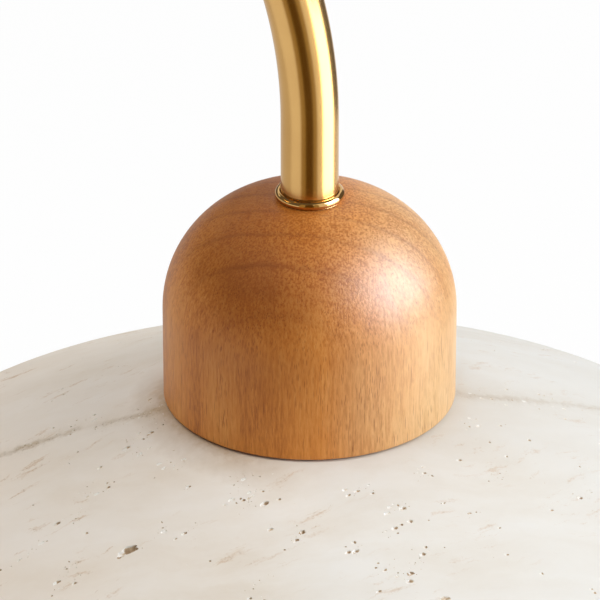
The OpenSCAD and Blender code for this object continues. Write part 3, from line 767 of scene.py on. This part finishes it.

# %% [markdown]
# The honed face is matt and pale. Its colour could come from one noise, but the real one has an order:
# broad beds, short tan dashes at a slant to them, one broken vein that bows, and dark specks in both.
# One side is warmer than the other, and a painted shadow darkens the stone beside the cap's foot on one
# side.

# %% The stone's finish
STONE_WIDE_MM = 2 * STONE_R / MM
CAP_WIDE_MM = 2 * CAP_R / MM
SHADOW_REACH_MM = 10.0
MAIN_VEIN_MM = -3.5
VEIN_BOW_MM = 3.0
VEIN_HALF_MM = 4.0
BEDS = [(0.34, (0.66, 0.605, 0.525)), (0.5, (0.71, 0.672, 0.61)), (0.66, (0.745, 0.722, 0.68))]
WARM_LIME = (0.80, 0.70, 0.60)
COOL_LIME = (0.70, 0.697, 0.672)
PAINTED_SHADOW_TAN = (0.38, 0.265, 0.16)
DASH_TAN = (0.55, 0.37, 0.22)
VEIN_BROWN = (0.42, 0.32, 0.21)
SPECK_BROWN = (0.20, 0.15, 0.09)
# Pit colours by depth: the brown floors are partly dirt and partly painted shade.
PIT_DIRT_AND_SHADE = [(0.2, (0.79, 0.76, 0.70)), (0.5, (0.58, 0.45, 0.30)), (0.9, (0.34, 0.23, 0.13))]
VEIN_BOW = [(0.22, 0.0), (0.33, 0.6), (0.45, 0.0), (0.74, 0.0), (0.83, 1.0)]


def travertine():
    """The honed face of the stone."""
    finish = Finish("travertine_honed")
    finish.put(finish.shader, {"Specular IOR Level": 0.02})
    p = place_mm(finish)
    x, y, z = xyz(finish, p)
    depth = x * LAYER_ACROSS.x + y * LAYER_ACROSS.y + z * LAYER_ACROSS.z
    rise = x * DASH_ACROSS.x + y * DASH_ACROSS.y + z * DASH_ACROSS.z
    flat = (x - z) * 0.7
    wander = cloud(finish, p, 0.02, detail=2.0) - 0.5
    ragged = cloud(finish, p, 0.3, detail=4.0, roughness=0.6) - 0.5
    grain = cloud(finish, p, 1.3, detail=3.0, roughness=0.7)
    layer = depth + wander * 16 + ragged * 3
    bed_place = vector_of(finish, layer * 0.07, y * 0.02, flat * 0.02)
    colour = ramp(finish, cloud(finish, bed_place, 1.0, detail=5.0, roughness=0.6), *BEDS)
    across = y / STONE_WIDE_MM + 0.5 + wander * 0.3
    warm = ramp(finish, across, (0.45, 0.0), (0.9, 0.65))
    colour = blend(finish, warm, colour, WARM_LIME)
    colour = blend(finish, ramp(finish, across, (0.1, 0.8), (0.55, 0.0)), colour, COOL_LIME)
    # Painted shadow: a tan patch beside the cap's foot, on the side away from the key light, stands in for
    # the cap's contact shadow.
    past_cap = ((x * x + y * y).math("SQRT") - CAP_R / MM) / SHADOW_REACH_MM + ragged * 0.5
    shadow_side = ramp(finish, (y - x * 0.6) / CAP_WIDE_MM, (0.36, 0.0), (0.54, 1.0))
    painted_shadow = ramp(finish, past_cap, (0.0, 1.0), (0.3, 0.5), (1.0, 0.0)) * shadow_side
    colour = blend(finish, painted_shadow * 0.85, colour, PAINTED_SHADOW_TAN)
    slope = rise + wander * 14 + ragged * 2.5
    dash_place = vector_of(finish, slope * 0.5, y * 0.07, flat * 0.07)
    dashes = cloud(finish, dash_place, 1.0, detail=5.0, roughness=0.65)
    patchy = ramp(finish, cloud(finish, p, 0.045, detail=2.0), (0.48, 0.0), (0.58, 1.0))
    dash = ramp(finish, dashes + (grain - 0.5) * 0.15, (0.58, 0.0), (0.70, 1.0)) * patchy * (0.5 + warm)
    colour = blend(finish, dash * 0.75, colour, DASH_TAN)
    bow = ramp(finish, y / STONE_WIDE_MM + 0.5, *VEIN_BOW)
    seam = abs(depth + bow * VEIN_BOW_MM + ragged * 3.5 + (grain - 0.5) * 1.2 - MAIN_VEIN_MM)
    broken = ramp(finish, cloud(finish, p, 0.09, detail=4.0), (0.36, 0.2), (0.52, 1.0))
    broken = broken * (0.35 + warm * 0.9)
    vein = ramp(finish, seam / VEIN_HALF_MM, (0.0, 1.0), (0.18, 0.6), (0.36, 0.15), (1.0, 0.0)) * broken
    colour = blend(finish, vein * 0.9, colour, VEIN_BROWN)
    speck = ramp(finish, grain, (0.56, 0.0), (0.64, 1.0)) * (vein + dash * 0.6)
    colour = blend(finish, speck * 0.7, colour, SPECK_BROWN)
    finish.feed(base_color=colour, roughness=0.55 + grain * 0.16)
    finish.feed(normal=relief(finish, grain * 0.4 + cloud(finish, p, 0.25) - speck, 0.2, 0.1))
    return finish.material


def raw_stone():
    """The unpolished wall of a pit: pale at the rim and browner the deeper it lies, the brown partly dirt
    and partly painted shade.
    """
    finish = Finish("travertine_raw", roughness=0.85)
    p = place_mm(finish)
    dust = cloud(finish, p, 2.2, detail=4.0, roughness=0.65)
    stained = cloud(finish, p, 0.5) * 1.2 + dust * 0.3 - 0.7
    deep = finish.node("ShaderNodeAttribute", {"attribute_name": "pit_depth"}, out="Fac") + stained
    finish.feed(base_color=ramp(finish, deep, *PIT_DIRT_AND_SHADE), normal=relief(finish, dust, 0.6, 0.15))
    return finish.material


print("stone finishes for", round(STONE_WIDE_MM), "mm of stone")

# %% [markdown]
# ## Turned wood
# The cap is turned from one block with its fibres upright. So the side shows the pores lengthwise, as
# short dark flecks, and the crown shows them end on, as dots. Growth rings cross the crown as faint
# arcs. If the pattern is worked out in space and not on the surface, all three come from one formula.
# End grain drinks more oil than the side, and so the crown is darker. The darkest patch, over the heart of
# the block, is partly the wood's own tone and partly painted shade. The other side of the block is
# sapwood, which is paler and has longer, thinner pores.

# %% The wood's finish
PITH_MM = (95.0, -20.0)
RING_MM = 9.0
HEART_MM = 16.0
HEART_REACH_MM = 30.0
CAP_TALL_MM = 69.0
FLECK_FADE_MM = 60.0
ALONG_FIBRE = 0.12
OILED_WOOD_AND_SHADE = (0.19, 0.047, 0.005)
PORE_TINT = (0.50, 0.36, 0.22)
HEARTWOOD = [(0.34, (0.425, 0.122, 0.010)), (0.5, (0.65, 0.228, 0.032)), (0.66, (0.765, 0.322, 0.066))]
SAPWOOD = [(0.34, (0.58, 0.31, 0.105)), (0.5, (0.735, 0.465, 0.205)), (0.66, (0.82, 0.56, 0.285))]
LATE_WOOD = [(0.0, 0.3), (0.1, 0.0), (0.8, 0.1), (0.95, 1.0), (1.0, 0.3)]


def flecks(finish, p, stretch, scale, sharp):
    """Thin dark vessels: cells that are drawn out along the fibre."""
    sockets = {"Vector": stretched(finish, p, (1, 1, stretch)), "Scale": scale}
    cells = finish.node("ShaderNodeTexVoronoi", {"feature": "F1"}, sockets)
    return ramp(finish, cells, (sharp * 0.65, 1.0), (sharp, 0.0))


def end_grain(finish):
    """1 where the surface lies across the fibres and 0 where it runs along them."""
    facing = finish.node("ShaderNodeTexCoord", out="Normal")
    return ramp(finish, xyz(finish, facing)[2], (0.15, 0.0), (0.75, 1.0))


def turned_wood():
    """Oiled wood, from its rings and pores in space."""
    finish = Finish("turned_wood")
    finish.put(finish.shader, {"Specular IOR Level": 0.36})
    p = place_mm(finish)
    x, y, z = xyz(finish, p)
    crown = end_grain(finish)
    wave = cloud(finish, stretched(finish, p, (1.0, 1.0, 0.3)), 0.05, detail=3.0) - 0.5
    dx, dy = x - PITH_MM[0], y - PITH_MM[1]
    ring = ((dx * dx + dy * dy).math("SQRT") + wave * 3) / RING_MM
    late = ramp(finish, ring.math("FRACT"), *LATE_WOOD)
    tone = cloud(finish, stretched(finish, p, (1.0, 1.0, 0.2)), 0.07, detail=3.0)
    streaks = cloud(finish, stretched(finish, p, (1.0, 1.0, 0.04)), 0.9, detail=4.0, roughness=0.65)
    dots = cloud(finish, stretched(finish, p, (1.0, 1.0, ALONG_FIBRE)), 1.5, detail=3.0, roughness=0.75)
    figure = 0.5 + (tone - 0.5) * 0.4 + (streaks - 0.5) * 0.25 + (dots - 0.5) * (0.5 + crown * 1.3)
    colour = ramp(finish, figure, *HEARTWOOD)
    # Partly painted shade: the crown darkens over the heart, on the side away from the key light. The rest
    # is the oiled end grain's own darker tone.
    heart = abs(y - HEART_MM + wave * 16) / HEART_REACH_MM
    soak_and_shade_by_height = ramp(finish, z / CAP_TALL_MM, (0.0, 0.1), (0.5, 0.62), (0.68, 1.0), (1.0, 0.65))
    oil_and_shade = soak_and_shade_by_height * ramp(finish, heart, (0.2, 0.85), (1.0, 0.18))
    sap = ramp(finish, 0.5 - y / CAP_WIDE_MM + wave * 0.3, (0.53, 0.0), (0.90, 0.95))
    sap = sap * ramp(finish, z / CAP_TALL_MM, (0.1, 1.0), (0.4, 0.82), (0.58, 0.58), (0.85, 0.78))
    colour = blend(finish, sap, colour, ramp(finish, figure, *SAPWOOD))
    colour = blend(finish, oil_and_shade + late * crown * (0.16 + sap * 0.32), colour, OILED_WOOD_AND_SHADE)
    thick = cloud(finish, stretched(finish, p, (1.0, 1.0, 0.2)), 0.2)
    crowd = ramp(finish, thick, (0.40, 0.15), (0.62, 1.0))
    fine = flecks(finish, p, 0.11, 2.2, 0.34) * crowd
    low = ramp(finish, z / FLECK_FADE_MM, (0.1, 1.0), (0.8, 0.25))
    bold = flecks(finish, p, 0.06, 1.15, 0.17) * low
    thread = flecks(finish, p, 0.032, 0.9, 0.13) * (0.35 + sap)
    pore = (fine * 0.65).math("MAXIMUM", bold * 0.75).math("MAXIMUM", thread)
    colour = blend(finish, pore, colour, PORE_TINT, kind="MULTIPLY")
    finish.feed(base_color=colour, roughness=0.34 + dots * 0.14)
    finish.feed(normal=relief(finish, streaks * 0.3 + dots * (0.4 + crown * 1.5) - pore * 0.15, 0.4, 0.14))
    return finish.material


print("growth rings every", RING_MM, "mm")

# %% [markdown]
# ## Brass
# The tube is brushed fine and lacquered, so it mirrors the studio with a soft edge, and faint lines run
# along it. Noise stretched along one axis would do on a straight tube. This one bends, so the shader works
# out how far along the tube a point lies: straight parts by distance, the bend by its angle.

# %% Brass finishes
BRASS = (0.68, 0.415, 0.15)
DULL_BRASS = (0.58, 0.335, 0.12)


def along_tube(finish):
    """Position in millimetres as (across, out from the centre line, along the tube)."""
    p = place_mm(finish, BEND_CENTRE)
    x, y, z = xyz(finish, p)
    radius = BEND_R / MM
    out = 0 - y
    out_bend = out.math("MAXIMUM", 0)
    up_bend = z.math("MAXIMUM", 0)
    reach = (out_bend * out_bend + up_bend * up_bend).math("SQRT")
    run = radius * up_bend.math("ARCTAN2", out_bend) + z.math("MINIMUM", 0) - out.math("MINIMUM", 0)
    return vector_of(finish, x, reach - radius, run)


def brass(name, place, lines, roughness, spread):
    """Brass whose fine lines follow the given stretch of a place."""
    finish = Finish(name, metallic=1.0)
    p = place(finish)
    scratch = cloud(finish, stretched(finish, p, lines), 1.0, detail=4.0, roughness=0.7)
    tarnish = cloud(finish, p, 0.05, detail=3.0)
    colour = blend(finish, ramp(finish, tarnish, (0.35, 0.0), (0.7, 0.5)), BRASS, DULL_BRASS)
    finish.feed(base_color=colour, roughness=roughness + (scratch - 0.5) * spread)
    finish.feed(normal=relief(finish, scratch, 0.06, 0.02))
    return finish.material


def round_wall_axis(finish):
    """Position as (distance from the wall plate's axis, depth, nothing)."""
    x, y, z = xyz(finish, place_mm(finish, Vector((0, 0, 0))))
    return vector_of(finish, (x * x + z * z).math("SQRT"), y, 0)


print("brass lines follow a bend of", round(BEND_R / MM), "mm")

# %% [markdown]
# ## Plain parts
# Plastic, plated steel, rubber and felt are quieter, but none is one flat colour: moulded plastic has a
# fine grain, plating is streaky, felt is fibrous and an opal lamp is milky.

# %% One recipe for the plain finishes
def plain(name, dark, light, rough, grain_scale, bump, gloss=0.5, **constants):
    """Two close tones over a grain, with roughness and relief from the same grain."""
    finish = Finish(name, **constants)
    finish.put(finish.shader, {"Specular IOR Level": gloss})
    p = place_mm(finish)
    grain = cloud(finish, p, grain_scale, detail=4.0, roughness=0.6)
    worn = cloud(finish, p, 0.08, detail=3.0)
    finish.feed(base_color=ramp(finish, grain * 0.6 + worn * 0.4, (0.3, dark), (0.7, light)))
    finish.feed(roughness=ramp(finish, grain, (0.25, rough[0]), (0.75, rough[1])))
    finish.feed(normal=relief(finish, grain, 0.3, bump))
    return finish.material


FINISHES = {
    "satin_brass": brass("satin_brass_plain", place_mm, (1.5, 1.5, 1.5), 0.24, 0.16),
    "polished_brass": brass("polished_brass", place_mm, (0.5, 0.5, 0.5), 0.07, 0.05),
    "contact_brass": brass("contact_brass", place_mm, (0.8, 0.8, 0.8), 0.3, 0.2),
    "zinc_steel": plain(
        "zinc_steel", (0.42, 0.43, 0.45), (0.62, 0.63, 0.64), (0.28, 0.45), 0.7, 0.02, metallic=1.0
    ),
    "green_screw": plain(
        "green_screw", (0.05, 0.22, 0.09), (0.09, 0.33, 0.15), (0.3, 0.45), 0.8, 0.02, metallic=0.6
    ),
    "lead_sheath": plain("lead_sheath", (0.70, 0.68, 0.61), (0.80, 0.78, 0.72), (0.45, 0.6), 1.2, 0.03),
    "connector_plastic": plain(
        "connector_plastic", (0.62, 0.24, 0.04), (0.76, 0.33, 0.07), (0.4, 0.55), 1.5, 0.03
    ),
    "black_plastic": plain(
        "black_plastic", (0.018, 0.018, 0.019), (0.034, 0.034, 0.035), (0.4, 0.58), 2.5, 0.03
    ),
    "felt": plain("felt", (0.075, 0.034, 0.014), (0.13, 0.062, 0.026), (0.9, 1.0), 2.0, 0.2, gloss=0.05),
    "rubber": plain("rubber", (0.02, 0.02, 0.02), (0.035, 0.035, 0.035), (0.7, 0.85), 2.0, 0.03),
    "porcelain": plain("porcelain", (0.82, 0.81, 0.77), (0.88, 0.87, 0.84), (0.15, 0.25), 0.6, 0.02),
    "lamp_metal": plain(
        "lamp_metal", (0.66, 0.66, 0.65), (0.78, 0.78, 0.76), (0.22, 0.34), 0.8, 0.02, metallic=1.0
    ),
    "lamp_white": plain("lamp_white", (0.80, 0.80, 0.78), (0.86, 0.86, 0.84), (0.3, 0.4), 2.0, 0.02),
    "lamp_opal": plain("lamp_opal", (0.86, 0.85, 0.81), (0.91, 0.90, 0.87), (0.22, 0.3), 1.0, 0.01),
    "cap_wood": turned_wood(),
    "travertine": travertine(),
}
NODE_FINISHES = {
    "arm_tube": brass("satin_brass_tube", along_tube, (9.0, 9.0, 0.05), 0.20, 0.10),
    "wall_plate": brass("satin_brass_spun", round_wall_axis, (7.0, 7.0, 1.0), 0.22, 0.16),
}
print("finishes:", len(FINISHES) + len(NODE_FINISHES))

# %% Put the finishes on
for node, solid in NODES.items():
    finish = NODE_FINISHES.get(node, FINISHES[SLOT_OF[node]])
    solid.data.materials.clear()
    for mesh in {solid.data, PIECES.get(node, solid).data}:
        mesh.materials.append(finish)
stone.data.materials.append(raw_stone())
print("finished nodes:", len(NODES))

# %% [markdown]
# ## Finish
# Standard view transform keeps colours as they are written.

bpy.context.scene.view_settings.view_transform = "Standard"
